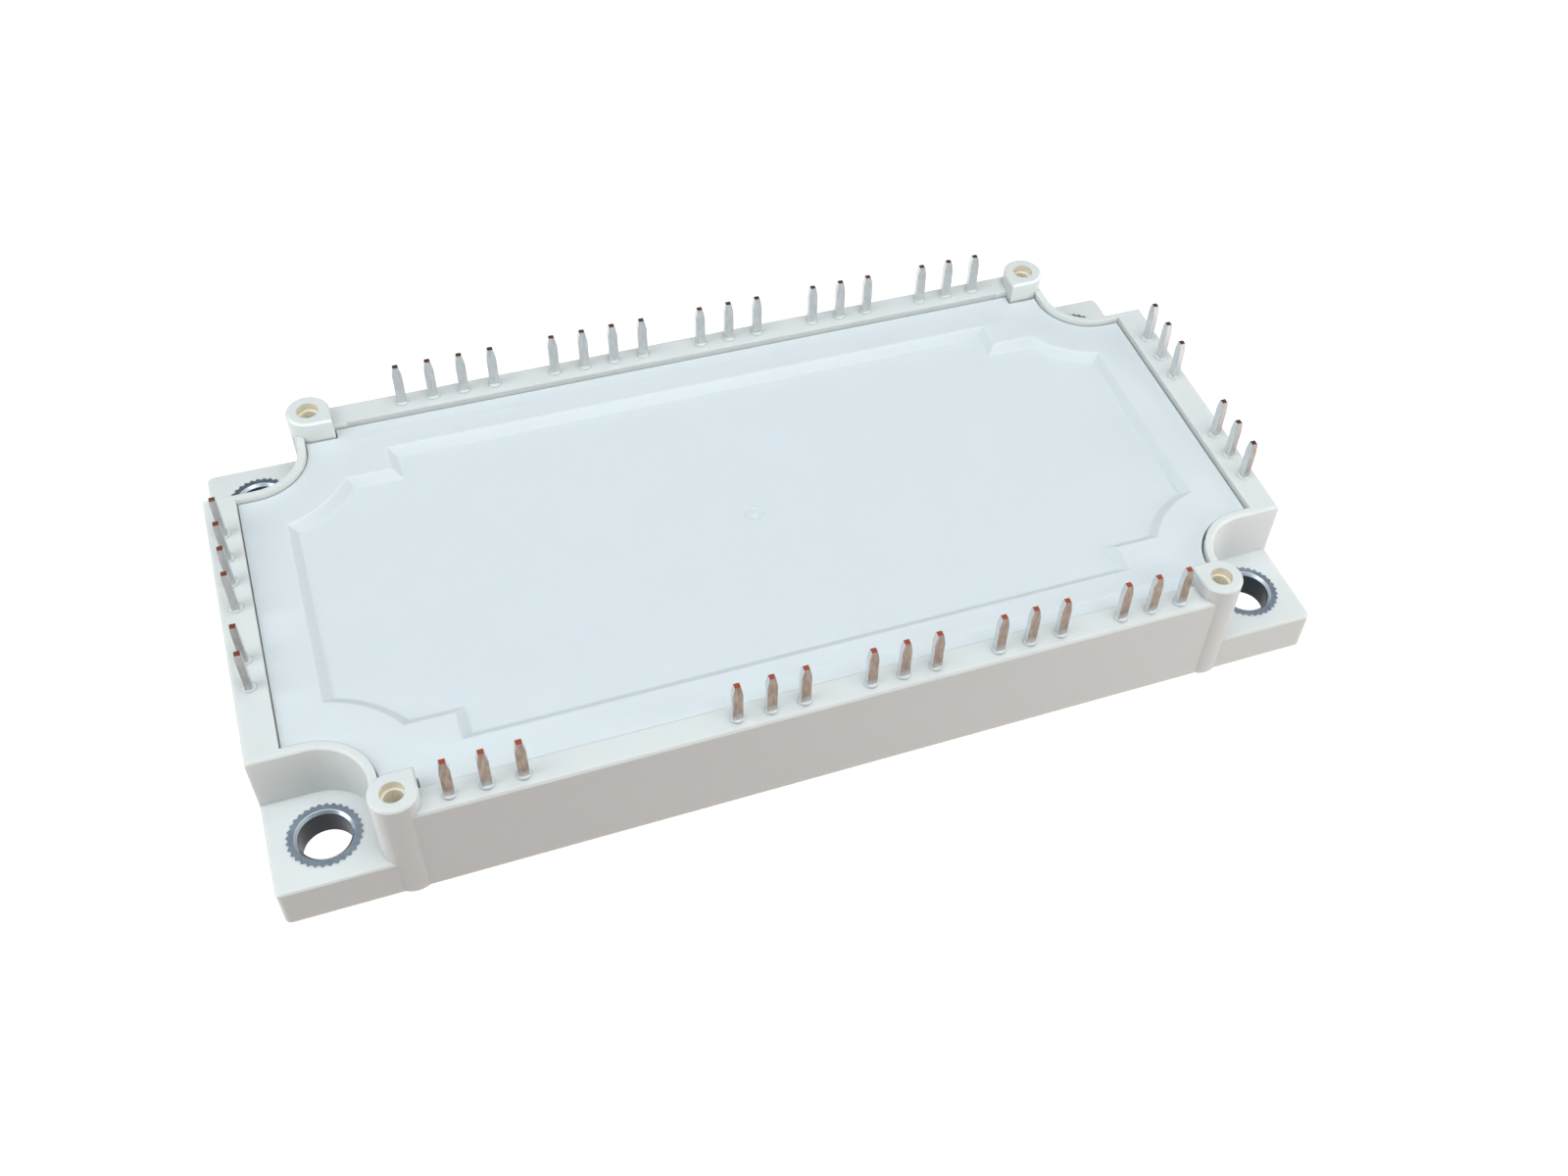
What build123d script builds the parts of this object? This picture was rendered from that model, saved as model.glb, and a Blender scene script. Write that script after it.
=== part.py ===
from build123d import *
import math
import os

# A flat power semiconductor module: a moulded frame on a copper plate, pins round the rim, a lid on top
# and the power circuit potted inside. X runs along the length, Y to the back and Z up.
# The origin is the centre of the plate's under side, which is the face that meets the heatsink.

# Screw and board patterns that all modules of this outline share
hole_pitch_x = 110.0
hole_pitch_y = 50.0
boss_pitch_x = 94.5
boss_pitch_y = 57.5
pin_pitch = 3.81
pin_columns_apart = 118.11
pin_rows_apart = 58.6

# Moulded frame
body_length = 121.6
body_width = 61.9
ear_height = 5.35
ear_corner_radius = 0.8
rim_height = 13.0
boss_height = 15.05
end_rim = 3.6
side_rim = 3.35
rim_edge = 0.25
ear_edge = 0.2
scallop_radius = 5.6
scallop_wall = 1.0

# Board bosses
boss_radius = 2.55
boss_edge = 0.2
boss_lead_in_radius = 1.28
boss_lead_in_depth = 1.1
boss_screw_radius = 1.05
boss_screw_depth = 8.5

# Base plate and the bead that seals it to the frame
plate_thickness = 3.0
plate_stand = 1.95
plate_inset = 1.25
plate_gap = 0.1
plate_notch_radius = 6.4
seal_thickness = 0.15
seal_inset = 0.5
seal_width = 1.2

# Inside of the frame
lid_ledge = 1.2
corner_ledge = 1.0
shelf_rise = 3.2
shelf_width = 3.0
well_corner_radius = 8.5
gel_depth = 6.2

# Lid
lid_thickness = 1.5
lid_drop = 0.8
lid_gap = 0.2
lid_lean_x = -0.08
lid_lean_y = 0.14
boss_gap = 0.25
tray_length = 104.3
tray_width = 45.2
tray_depth = 1.0
tray_slope = 1.15
tray_corner_radius = 12.0
tray_notch_x = 39.3
tray_notch_y = 18.9
tray_skin = 0.6
gate_dimple_radius = 1.1
gate_dimple_depth = 0.2
gate_nub_radius = 0.55
gate_nub_height = 0.12

# Pins: positions are counted in pitches from the first pin of each row
pin_width = 1.15
pin_thickness = 0.75
pin_rise = 3.7
pin_taper_length = 1.35
pin_tip_width = 0.76
pin_crown_length = 0.2
pin_crown_step = 0.06
foot_width = 2.0
foot_setback = 0.5
back_steps = [0, 1, 2, 3, 5, 6, 7, 8, 10, 11, 12, 14, 15, 16, 18, 19, 20]
front_steps = [0, 1, 2, 8, 9, 10, 12, 13, 14, 16, 17, 18, 20, 21, 22]
left_steps = [0, 1, 2, 3, 5, 6]
right_steps = [0, 1, 2, 5, 6, 7]
back_first_step = -9.5
front_first_step = -11.0
side_first_step = 3.5

# Mounting bushings
bushing_length = 3.35
bushing_bore_radius = 2.75
bushing_lip = 0.35
bushing_sleeve_radius = 3.4
flange_thickness = 1.2
flange_proud = 0.05
tooth_count = 32
tooth_tip_radius = 3.95
tooth_root_radius = 3.65
relief_mouth_radius = 4.6

# Power circuit on three ceramic tiles
tile_length = 31.0
tile_width = 40.0
tile_space = 1.0
tile_thickness = 0.38
copper_thickness = 0.3
copper_margin = 0.8
solder_thickness = 0.2
bar_width = 3.4
pad_space = 0.6
track_length = 25.6
chip_thickness = 0.35
igbt_size = 8.2
freewheel_size = 5.8
rectifier_size = 5.6
brake_size = 6.2
brake_freewheel_size = 4.8
lower_chip_y = -5.4
upper_chip_y = 7.0
gate_pad_length = 4.0
thermistor_length = 2.0
thermistor_width = 1.25
thermistor_height = 0.8
thermistor_cap = 0.9
wire_width = 0.35
wire_rise = 1.5
wire_set_back = 0.6

# Levels worked out from the sizes above
frame_bottom = plate_stand
ear_top = frame_bottom + ear_height
rim_top = frame_bottom + rim_height
boss_top = frame_bottom + boss_height
pin_top = boss_top + pin_rise
taper_level = pin_top - pin_taper_length
crown_level = pin_top - pin_crown_length
lid_top = rim_top - lid_drop
lid_seat = lid_top - lid_thickness
floor_level = plate_thickness + seal_thickness
shelf_level = plate_thickness + shelf_rise
foot_level = shelf_level - pin_thickness
gel_level = plate_thickness + gel_depth
bushing_top = ear_top + flange_proud
bushing_bottom = bushing_top - bushing_length
back_copper_level = plate_thickness + solder_thickness
tile_level = back_copper_level + copper_thickness
track_level = tile_level + tile_thickness
chip_level = track_level + copper_thickness
chip_top = chip_level + chip_thickness

# Places worked out from the sizes above
hole_x = hole_pitch_x / 2
hole_y = hole_pitch_y / 2
boss_x = boss_pitch_x / 2
boss_y = boss_pitch_y / 2
opening_half_x = body_length / 2 - end_rim
opening_half_y = body_width / 2 - side_rim
opening_corner = scallop_radius + scallop_wall
chamber_half_x = opening_half_x - lid_ledge
chamber_half_y = opening_half_y - lid_ledge
well_half_x = chamber_half_x - shelf_width
well_half_y = chamber_half_y - shelf_width
plate_half_x = body_length / 2 - plate_inset
plate_half_y = body_width / 2 - plate_inset
tile_step = tile_length + tile_space
bar_y = tile_width / 2 - copper_margin - bar_width / 2
corner_signs = [(-1, -1), (1, -1), (-1, 1), (1, 1)]


def span(x0, x1, y0, y1):
    """Flat rectangle between two corners."""
    return Pos((x0 + x1) / 2, (y0 + y1) / 2) * Rectangle(abs(x1 - x0), abs(y1 - y0))


def block(x0, x1, y0, y1, z0, z1):
    """Upright box between two corners."""
    return extrude(Pos(0, 0, z0) * span(x0, x1, y0, y1), z1 - z0)


def prism(plan, z0, z1):
    """A flat shape raised from one level to another."""
    return extrude(Pos(0, 0, z0) * plan, z1 - z0)


def corner_bites(radius):
    """The four corner scallops: a circle round each mounting hole, opened out past the ends and sides."""
    bites = Sketch()
    far_x = body_length
    far_y = body_width
    for sx, sy in corner_signs:
        bites += Pos(sx * hole_x, sy * hole_y) * Circle(radius)
        bites += span(sx * hole_x, sx * far_x, sy * (hole_y - radius), sy * far_y)
        bites += span(sx * (hole_x - radius), sx * far_x, sy * hole_y, sy * far_y)
    return bites


def scalloped(half_x, half_y, radius):
    """Rectangle with its corners scalloped away round the mounting holes."""
    return Rectangle(2 * half_x, 2 * half_y) - corner_bites(radius)


def boss_plans(grow=0.0):
    """The four board bosses from above: round outside, with one square corner towards the middle."""
    plans = []
    size = boss_radius + grow
    for sx, sy in corner_signs:
        square = Pos(-sx * size / 2, -sy * size / 2) * Rectangle(size, size)
        plans.append(Pos(sx * boss_x, sy * boss_y) * (Circle(size) + square))
    return plans


def upper_plan():
    """The body above the ears; its long sides stop inside the round of each board boss."""
    plan = scalloped(body_length / 2, body_width / 2, scallop_radius)
    for sx, sy in corner_signs:
        plan -= span(sx * boss_x, sx * body_length, sy * boss_y, sy * body_width)
    return plan


def frame_shell():
    """Ears, walls and rim as one block with broken upper edges."""
    ears = prism(RectangleRounded(body_length, body_width, ear_corner_radius), frame_bottom, ear_top)
    ears = chamfer(ears.faces().sort_by(Axis.Z)[-1].edges(), ear_edge)
    walls = prism(upper_plan(), frame_bottom, rim_top)
    walls = chamfer(walls.faces().sort_by(Axis.Z)[-1].edges(), rim_edge)
    return ears + walls


def board_bosses():
    """The four bosses as full height columns with a broken top edge."""
    bosses = []
    for plan in boss_plans():
        column = prism(plan, frame_bottom, boss_top)
        bosses.append(chamfer(column.faces().sort_by(Axis.Z)[-1].edges(), boss_edge))
    return bosses


def boss_holes():
    """Wide mouth and narrow screw hole of each board boss."""
    holes = []
    for sx, sy in corner_signs:
        mouth = prism(Circle(boss_lead_in_radius), boss_top - boss_lead_in_depth, boss_top)
        screw = prism(Circle(boss_screw_radius), boss_top - boss_screw_depth, boss_top)
        holes.append(Pos(sx * boss_x, sy * boss_y) * (mouth + screw))
    return holes


def ear_reliefs():
    """Cone under each bushing that leaves the way down free for the screw."""
    height = bushing_bottom - frame_bottom
    cone = Cone(relief_mouth_radius, bushing_sleeve_radius, height)
    middle = frame_bottom + height / 2
    return [Pos(sx * hole_x, sy * hole_y, middle) * cone for sx, sy in corner_signs]


def plate_rebate():
    """Room for the base plate and its seal in the under side of the frame."""
    plan = scalloped(plate_half_x + plate_gap, plate_half_y + plate_gap, plate_notch_radius - plate_gap)
    return prism(plan, 0, floor_level)


def frame(pins):
    """The moulded frame, hollowed for the lid and the circuit and shaped round its metal inserts."""
    shell = frame_shell()
    shell -= prism(scalloped(opening_half_x, opening_half_y, opening_corner), lid_seat, boss_top)
    shell += board_bosses()
    chamber = scalloped(chamber_half_x, chamber_half_y, opening_corner + corner_ledge)
    shell -= prism(chamber, shelf_level, lid_seat)
    shell -= prism(scalloped(well_half_x, well_half_y, well_corner_radius), floor_level, shelf_level)
    shell -= plate_rebate()
    shell -= boss_holes()
    shell -= ear_reliefs()
    shell -= at_holes(bushing_body())
    return shell - pins


def tray_plan(inset):
    """Outline of the tray: a rectangle with round corners cut in and a square step beside each boss."""
    plan = Rectangle(tray_length - 2 * inset, tray_width - 2 * inset)
    for sx, sy in corner_signs:
        plan -= Pos(sx * hole_x, sy * hole_y) * Circle(tray_corner_radius + inset)
        step_x = sx * (tray_notch_x - inset)
        step_y = sy * (tray_notch_y - inset)
        plan -= span(step_x, sx * body_length, step_y, sy * body_width)
    return plan


def sloped_tray(top_level, top_inset):
    """Tray shaped body whose walls slope in as they go down."""
    top = Pos(0, 0, top_level) * tray_plan(top_inset)
    bottom = Pos(0, 0, top_level - tray_depth) * tray_plan(top_inset + tray_slope)
    return loft([top.faces()[0], bottom.faces()[0]], ruled=True)


def gate_mark():
    """Place where the lid was fed in the mould: a shallow dimple, and the nub that stands in it."""
    floor = lid_top - tray_depth
    base = floor - gate_dimple_depth
    dimple = prism(Circle(gate_dimple_radius), base, floor)
    nub = prism(Circle(gate_nub_radius), base, base + gate_nub_height)
    return dimple, nub


def lid():
    """Cover with a shallow tray in it, on the ledge inside the rim and pushed back and a little left."""
    plan = scalloped(opening_half_x - lid_gap, opening_half_y - lid_gap, opening_corner + lid_gap)
    for boss in boss_plans(boss_gap):
        plan -= boss
    dimple, nub = gate_mark()
    cover = prism(plan, lid_seat, lid_top) + sloped_tray(lid_seat, -tray_skin)
    return Pos(lid_lean_x, lid_lean_y) * (cover - sloped_tray(lid_top, 0) - dimple + nub)


def base_plate():
    """Copper plate with its corners notched clear of the mounting screws."""
    return prism(scalloped(plate_half_x, plate_half_y, plate_notch_radius), 0, plate_thickness)


def base_seal():
    """Bead of adhesive round the edge, between plate and frame."""
    outer = seal_inset
    inner = seal_inset + seal_width
    ring = scalloped(plate_half_x - outer, plate_half_y - outer, plate_notch_radius + outer)
    ring -= scalloped(plate_half_x - inner, plate_half_y - inner, plate_notch_radius + inner)
    return prism(ring, plate_thickness, floor_level)


def tooth_ring():
    """Star outline of the bushing flange, with a point for each tooth."""
    points = []
    for i in range(2 * tooth_count):
        radius = tooth_tip_radius if i % 2 == 0 else tooth_root_radius
        angle = math.pi * i / tooth_count
        points.append((radius * math.cos(angle), radius * math.sin(angle)))
    return make_face(Polyline(*points, close=True))


def bushing_body():
    """One bushing without its bore."""
    flange = prism(tooth_ring(), bushing_top - flange_thickness, bushing_top)
    return flange + prism(Circle(bushing_sleeve_radius), bushing_bottom, bushing_top)


def bushing():
    """One bushing with its bore and the broken edge at its mouth."""
    bored = bushing_body() - prism(Circle(bushing_bore_radius), bushing_bottom, bushing_top)
    mouth = bored.faces().sort_by(Axis.Z)[-1].inner_wires()[0].edges()
    return chamfer(mouth, bushing_lip)


def at_holes(piece):
    """A copy of a piece at each mounting hole."""
    return [Pos(sx * hole_x, sy * hole_y) * piece for sx, sy in corner_signs]


def pin_places():
    """Name, place and turn of every pin; a turn of zero has the bonding foot pointing to the front."""
    places = []
    rows = [
        ("back", back_steps, back_first_step, 1, 0),
        ("front", front_steps, front_first_step, -1, 180),
    ]
    for side, steps, first, sign, turn in rows:
        for count, step in enumerate(steps, 1):
            x = (first + step) * pin_pitch
            places.append((f"pin_{side}_{count:02d}", x, sign * pin_rows_apart / 2, turn))
    columns = [("left", left_steps, -1, 90), ("right", right_steps, 1, -90)]
    for side, steps, sign, turn in columns:
        for count, step in enumerate(steps, 1):
            y = (side_first_step - step) * pin_pitch
            places.append((f"pin_{side}_{count:02d}", sign * pin_columns_apart / 2, y, turn))
    return places


def foot_reach(turn):
    """Distance from a pin's middle to the inner end of its bonding foot."""
    if turn in (0, 180):
        return pin_rows_apart / 2 - well_half_y - foot_setback
    return pin_columns_apart / 2 - well_half_x - foot_setback


def side_view(*edge):
    """Flat symmetric shape from its right edge, given from the bottom up as half widths and levels."""
    mirrored = [(-x, z) for x, z in reversed(edge)]
    return make_face(Polyline(*edge, *mirrored, close=True))


def blade():
    """Upright blade of a pin: its wide side narrows to the tip, and a small crown breaks its end."""
    width = pin_width / 2
    tip = pin_tip_width / 2
    thickness = pin_thickness / 2
    crown = pin_crown_step
    wide = side_view((width, foot_level), (width, taper_level), (tip, crown_level), (tip - crown, pin_top))
    thin = side_view((thickness, foot_level), (thickness, crown_level), (thickness - crown, pin_top))
    return extrude(Plane.XZ * wide, pin_width, both=True) & extrude(Plane.YZ * thin, pin_width, both=True)


def pin(turn):
    """One stamped pin: a blade that stands up through the rim and a foot that the wire is bonded to."""
    half = foot_width / 2
    foot = block(-half, half, -foot_reach(turn), pin_thickness / 2, foot_level, shelf_level)
    return foot + blade()


def all_pins():
    """Every pin in its place, by name."""
    return {name: Pos(x, y) * Rot(0, 0, turn) * pin(turn) for name, x, y, turn in pin_places()}


def tiles(z0, thickness, margin):
    """The same layer on each of the three tiles."""
    length = tile_length - 2 * margin
    width = tile_width - 2 * margin
    plan = Rectangle(length, width)
    return [prism(Pos(i * tile_step, 0) * plan, z0, z0 + thickness) for i in (-1, 0, 1)]


def columns():
    """Each column of chips: its middle, its width, and the kind of its lower and its upper chip."""
    usable = tile_length - 2 * copper_margin
    rows = []
    for tile in (0, 1):
        width = (usable - 2 * pad_space) / 3
        for i in (-1, 0, 1):
            rows.append((tile * tile_step + i * (width + pad_space), width, "igbt", "freewheel"))
    width = (usable - 3 * pad_space) / 4
    for i in (-1.5, -0.5, 0.5):
        rows.append((-tile_step + i * (width + pad_space), width, "rectifier", "rectifier"))
    rows.append((-tile_step + 1.5 * (width + pad_space), width, "brake", "brake_freewheel"))
    return rows


chip_sizes = {
    "igbt": igbt_size,
    "freewheel": freewheel_size,
    "rectifier": rectifier_size,
    "brake": brake_size,
    "brake_freewheel": brake_freewheel_size,
}


def copper_tracks():
    """Etched copper: a bar along each tile, a long pad for each column and a small pad below it."""
    bar = Rectangle(tile_length - 2 * copper_margin, bar_width)
    small_pad = Rectangle(gate_pad_length, bar_width)
    pads = [prism(Pos(i * tile_step, bar_y) * bar, track_level, chip_level) for i in (-1, 0, 1)]
    for x, width, _, _ in columns():
        pads.append(prism(Pos(x, 0) * Rectangle(width, track_length), track_level, chip_level))
        pads.append(prism(Pos(x, -bar_y) * small_pad, track_level, chip_level))
    return pads + thermistor_pads()


def thermistor_place():
    """Middle of the thermistor, between two small pads of the right hand tile."""
    column = columns()[5]
    return (columns()[4][0] + column[0]) / 2, -bar_y


def thermistor_pads():
    """Two small pads that the thermistor's ends are soldered to."""
    x, y = thermistor_place()
    half = thermistor_width / 2
    pads = []
    for side in (-1, 1):
        near = side * thermistor_length / 2 - side * thermistor_cap / 2
        far = near + side * thermistor_cap
        pads.append(block(x - half, x + half, y + near, y + far, track_level, chip_level))
    return pads


def thermistor():
    """Small ceramic sensor block."""
    x, y = thermistor_place()
    half_x = thermistor_width / 2
    half_y = thermistor_length / 2
    return block(x - half_x, x + half_x, y - half_y, y + half_y, chip_level, chip_level + thermistor_height)


def chips(kinds):
    """All chips of the given kinds."""
    found = []
    for x, _, lower, upper in columns():
        for kind, y in ((lower, lower_chip_y), (upper, upper_chip_y)):
            if kind in kinds:
                half = chip_sizes[kind] / 2
                found.append(block(x - half, x + half, y - half, y + half, chip_level, chip_top))
    return found


def wire(start, end, start_level, end_level):
    """One bond wire: it rises to a crest half way between its two places and comes down again."""
    run = math.dist(start, end)
    dx = end[0] - start[0]
    dy = end[1] - start[1]
    crest = max(start_level, end_level) + wire_rise
    under = [(0, start_level), (run / 2, crest), (run, end_level)]
    over = [(x, z + wire_width) for x, z in under]
    outline = Polyline(*under, *reversed(over), close=True)
    side = Plane(origin=(start[0], start[1], 0), x_dir=(dx, dy, 0), z_dir=(dy, -dx, 0))
    return extrude(side * make_face(outline), wire_width / 2, both=True)


def chip_wires():
    """Wires from lower to upper chip, from upper chip to the bar and from lower chip to the small pad."""
    wires = []
    for x, _, lower, _ in columns():
        gate_y = lower_chip_y - chip_sizes[lower] / 2 + wire_set_back
        wires.append(wire((x, lower_chip_y), (x, upper_chip_y - wire_set_back), chip_top, chip_top))
        wires.append(wire((x, upper_chip_y + wire_set_back), (x, bar_y), chip_top, chip_level))
        wires.append(wire((x, gate_y), (x, -bar_y), chip_top, chip_level))
    return wires


def nearest_column(x):
    """Middle of the column that lies closest to a place along the module."""
    return min((column[0] for column in columns()), key=lambda place: abs(place - x))


def pin_wires():
    """A wire from every pin foot to the copper beside it."""
    wires = []
    along = foot_setback + wire_set_back
    row_y = bar_y + bar_width / 4
    column_x = tile_step + tile_length / 2 - copper_margin - wire_set_back
    for name, x, y, _ in pin_places():
        if "back" in name:
            start = (x, well_half_y + along)
            end = (x, row_y)
        elif "front" in name:
            inner = nearest_column(x)
            limit = gate_pad_length / 2 - wire_width
            start = (x, -well_half_y - along)
            end = (max(inner - limit, min(inner + limit, x)), -row_y)
        else:
            sign = 1 if x > 0 else -1
            limit = track_length / 2 - wire_width
            start = (sign * (well_half_x + along), y)
            end = (sign * column_x, max(-limit, min(limit, y)))
        wires.append(wire(start, end, shelf_level, chip_level))
    return wires


def silicone_gel(inside):
    """Soft potting that fills the frame up to below the lid and closes round all that is inside."""
    fill = prism(scalloped(well_half_x, well_half_y, well_corner_radius), plate_thickness, shelf_level)
    chamber = scalloped(chamber_half_x, chamber_half_y, opening_corner + corner_ledge)
    fill += prism(chamber, shelf_level, gel_level)
    return fill - inside


def model():
    """Every node by name."""
    pins = all_pins()
    bushings = at_holes(bushing())
    circuit = {
        "solder_layers": tiles(plate_thickness, solder_thickness, copper_margin),
        "substrate_backs": tiles(back_copper_level, copper_thickness, copper_margin),
        "ceramic_tiles": tiles(tile_level, tile_thickness, 0),
        "copper_tracks": copper_tracks(),
        "igbt_chips": chips(["igbt", "brake"]),
        "freewheel_diodes": chips(["freewheel", "brake_freewheel"]),
        "rectifier_diodes": chips(["rectifier"]),
        "thermistor": [thermistor()],
        "bond_wires": chip_wires() + pin_wires(),
    }
    inside = [solid for group in circuit.values() for solid in group]
    nodes = {
        "frame": frame(list(pins.values())),
        "lid": lid(),
        "base_plate": base_plate(),
        "base_seal": base_seal(),
        "mounting_bushings": Compound(children=bushings),
        "silicone_gel": silicone_gel(inside),
    }
    nodes.update({name: Compound(children=group) for name, group in circuit.items()})
    nodes.update(pins)
    return nodes


os.makedirs("parts", exist_ok=True)
for node_name, shape in model().items():
    export_step(shape, f"parts/{node_name}.step")
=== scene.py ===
import bpy
import numpy as np
from mathutils import Matrix, Vector
from mathutils.geometry import tessellate_polygon


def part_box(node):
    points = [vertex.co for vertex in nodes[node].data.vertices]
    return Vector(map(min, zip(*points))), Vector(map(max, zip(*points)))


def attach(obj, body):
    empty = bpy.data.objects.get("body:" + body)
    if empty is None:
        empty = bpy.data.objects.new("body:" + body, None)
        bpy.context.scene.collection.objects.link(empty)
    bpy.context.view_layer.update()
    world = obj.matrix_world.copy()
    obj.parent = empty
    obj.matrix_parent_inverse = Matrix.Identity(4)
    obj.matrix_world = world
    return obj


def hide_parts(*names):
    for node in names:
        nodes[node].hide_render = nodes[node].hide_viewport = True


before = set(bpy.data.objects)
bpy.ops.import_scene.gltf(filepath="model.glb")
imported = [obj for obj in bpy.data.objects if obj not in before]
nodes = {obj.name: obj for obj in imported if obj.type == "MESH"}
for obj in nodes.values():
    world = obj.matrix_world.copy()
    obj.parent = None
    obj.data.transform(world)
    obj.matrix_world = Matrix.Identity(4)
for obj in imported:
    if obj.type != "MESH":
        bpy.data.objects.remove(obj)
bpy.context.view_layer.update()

# Levels in metres, read from the frame's solids; the rim lies a known step below the board bosses
MM = 0.001
RIM_BELOW_BOSSES = 2.05
BOSS_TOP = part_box("frame")[1].z
RIM_TOP = BOSS_TOP - RIM_BELOW_BOSSES * MM
PIN_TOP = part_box("pin_back_01")[1].z
lid_low, lid_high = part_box("lid")
PIN_NAMES = sorted(name for name in nodes if name.startswith("pin_"))

# Places in millimetres that the lid's surface and the materials share with the solid model
HOLE_X, HOLE_Y = 55.0, 25.0
BOSS_X, BOSS_Y = 47.25, 28.75
BOSS_MOUTH_RADIUS = 1.28
BORE_RADIUS = 2.75
LIP_RADIUS = 3.1
PIN_HALF_THICKNESS = 0.375

# The lid, in millimetres from its own middle and down from its top
LID_HALF_X, LID_HALF_Y = 57.0, 27.4
LID_SCALLOP_RADIUS = 6.8
LID_BOSS_SIZE = 2.8
LID_THICKNESS = 1.5
LID_EDGE = 0.15
TRAY_HALF_X, TRAY_HALF_Y = 52.15, 22.6
TRAY_CORNER_RADIUS = 12.0
TRAY_STEP_X, TRAY_STEP_Y = 39.3, 18.9
TRAY_DEPTH, TRAY_SLOPE = 1.0, 1.15
TRAY_TOP_ROUNDING, TRAY_FOOT_ROUNDING = 0.45, 0.75
TRAY_SKIN = 0.6
LID_LEFT_REACH, LID_RIGHT_REACH = 0.04, 0.13
EDGE_POINTS, WALL_POINTS, SCALLOP_POINTS, BOSS_POINTS = 4, 7, 30, 6

# The gate mark, in millimetres from its middle and up from the floor of the tray
MARK_RADIUS, MARK_ROUNDING, MARK_DEPTH = 1.0, 0.24, 0.2
NUB_RADIUS, NUB_ROUNDING, NUB_RISE = 0.62, 0.12, 0.06
NUB_TOP = [(0.3, -0.085), (0.02, -0.08)]
MARK_SIDES = 48

# The collars at the roots of the pins, in millimetres from a pin's middle and up from the rim
COLLAR_FOOT = [(0.84, -0.02), (0.80, 0.05)]
COLLAR_RADIUS, COLLAR_ROUNDING = 0.62, 0.14
COLLAR_TOP = [(0.30, 0.28)]
COLLAR_SIDES = 28

# Edges of the new pieces that turn by more than this angle are shaded as sharp ones
SHARP_ANGLE = np.radians(28)

# The photograph's camera, worked out from the pin grid and the screw pattern
PHOTO_WIDTH, PHOTO_HEIGHT = 1600, 1200
FOCAL_PX = 1708.36
CENTRE_X_PX, CENTRE_Y_PX = 912.55, 587.56
SENSOR_MM = 36.0
CAMERA_PLACE = (-42.419 * MM, -130.275 * MM, 160.635 * MM)
CAMERA_RIGHT = (0.93232, -0.35539, 0.06697)
CAMERA_DOWN = (-0.22829, -0.72198, -0.65317)
CAMERA_FORWARD = (0.28048, 0.59368, -0.75424)
CAMERA_NEAR, CAMERA_FAR = 0.01, 10

# Directions of the module: to its right, to its back, to its front and up
RIGHT, BACK, FRONT, UP = (1, 0, 0), (0, 1, 0), (0, -1, 0), (0, 0, 1)

# Where the plastic gets painted shade, painted light and a painted glow, in millimetres: places along the
# module, distances from an axis and depths
TONE_FADE = 0.1
OUTER_FRONT_Y = (-28.5, -27.5)
FRONT_ENDS_X = (-45, 50)
SCALLOP_WALL, SCALLOP_SHARE = (6.25, 7.0), 0.8
BOSS_WALL = (1.5, 4.3)
WALLS_BELOW_RIM = (0.7, 0.6)
BACK_HALF_Y = (5, 10)
BOSS_HOLE_WALL = (BOSS_MOUTH_RADIUS * 1.02, BOSS_MOUTH_RADIUS * 1.08)
BELOW_BOSS_TOP = (0.25, 0.02)

# Where the pins get painted shade, painted highlights and a painted reflection, in millimetres: places along
# the module, heights over the rim and depths
NEAR_TO_FAR_Y, FAR_SHADE = (-24, 4), 0.22
OVER_FOOT, FOOT_SHADE = (0.3, 1.3), 0.35
LEFT_ROW_X, LEFT_SHADE_SHARE = (-56, -50), 0.35
CUT_DIRECTION, CUT_REACH = (0.4, 1, 0), (-10, 8)
CUT_BELOW_TOP = (0.02, 0.005)
PIN_ROUNDING, EDGE_HIGHLIGHT_SHARE = 0.13, 0.6

# Colours of the bushings' zinc, with a painted highlight on the rolled rim and painted shade in the bore, and
# of the pins' tin, with painted highlights and painted shade, and of their bare copper, with a painted
# reflection and a darker rim
ZINC_RING, ZINC_RING_PALE = (0.22, 0.25, 0.30), (0.28, 0.315, 0.37)
ZINC_LIP_HIGHLIGHT, ZINC_BORE_SHADE = (0.64, 0.69, 0.76), (0.02, 0.03, 0.042)
TIN, TIN_PALE = (0.67, 0.68, 0.69), (0.77, 0.78, 0.79)
PIN_FRONT_SHADE, PIN_FRONT_SHADE_PALE = (0.24, 0.18, 0.145), (0.37, 0.295, 0.245)
TIN_EDGE_HIGHLIGHT, TIN_LEFT_SHADE = (0.60, 0.60, 0.62), (0.36, 0.33, 0.33)
COPPER_NEAR_REFLECTION, COPPER_LEFT_REFLECTION, COPPER_FAR_REFLECTION = (0.38, 0.06, 0.028), (0.22, 0.055, 0.03), (0.10, 0.045, 0.03)
CUT_RIM_NEAR, CUT_RIM_FAR = (0.07, 0.018, 0.014), (0.05, 0.02, 0.015)

# The floor and the lights: name, place, aim, side and power, in metres and watts, and colour
FLOOR_HALF, FLOOR_GLOW, FLOOR_GLOW_COLOUR = 3.0, 1.02, (1.0, 0.97, 0.955, 1.0)
WORLD_COLOUR, WORLD_STRENGTH = (0.94, 0.98, 1.0, 1.0), 0.16
COOL, PLAIN = (0.90, 1.0, 1.03), (0.96, 0.99, 1.0)
LIGHTS = [
    ("overhead", (0.09, -0.01, 0.55), (0, 0, 0), 0.50, 1.90, COOL),
    ("left", (-0.38, -0.08, 0.55), (0, 0, 0), 0.40, 1.9, COOL),
    ("front", (0.05, -0.22, 0.49), (0, 0, 0), 0.25, 0.85, COOL),
    ("low_left", (-0.30, -0.04, 0.09), (-0.05, 0, 0.01), 0.15, 0.20, COOL),
    ("low_right", (0.26, -0.16, 0.07), (0.03, 0, 0.01), 0.12, 0.36, PLAIN),
]


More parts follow.
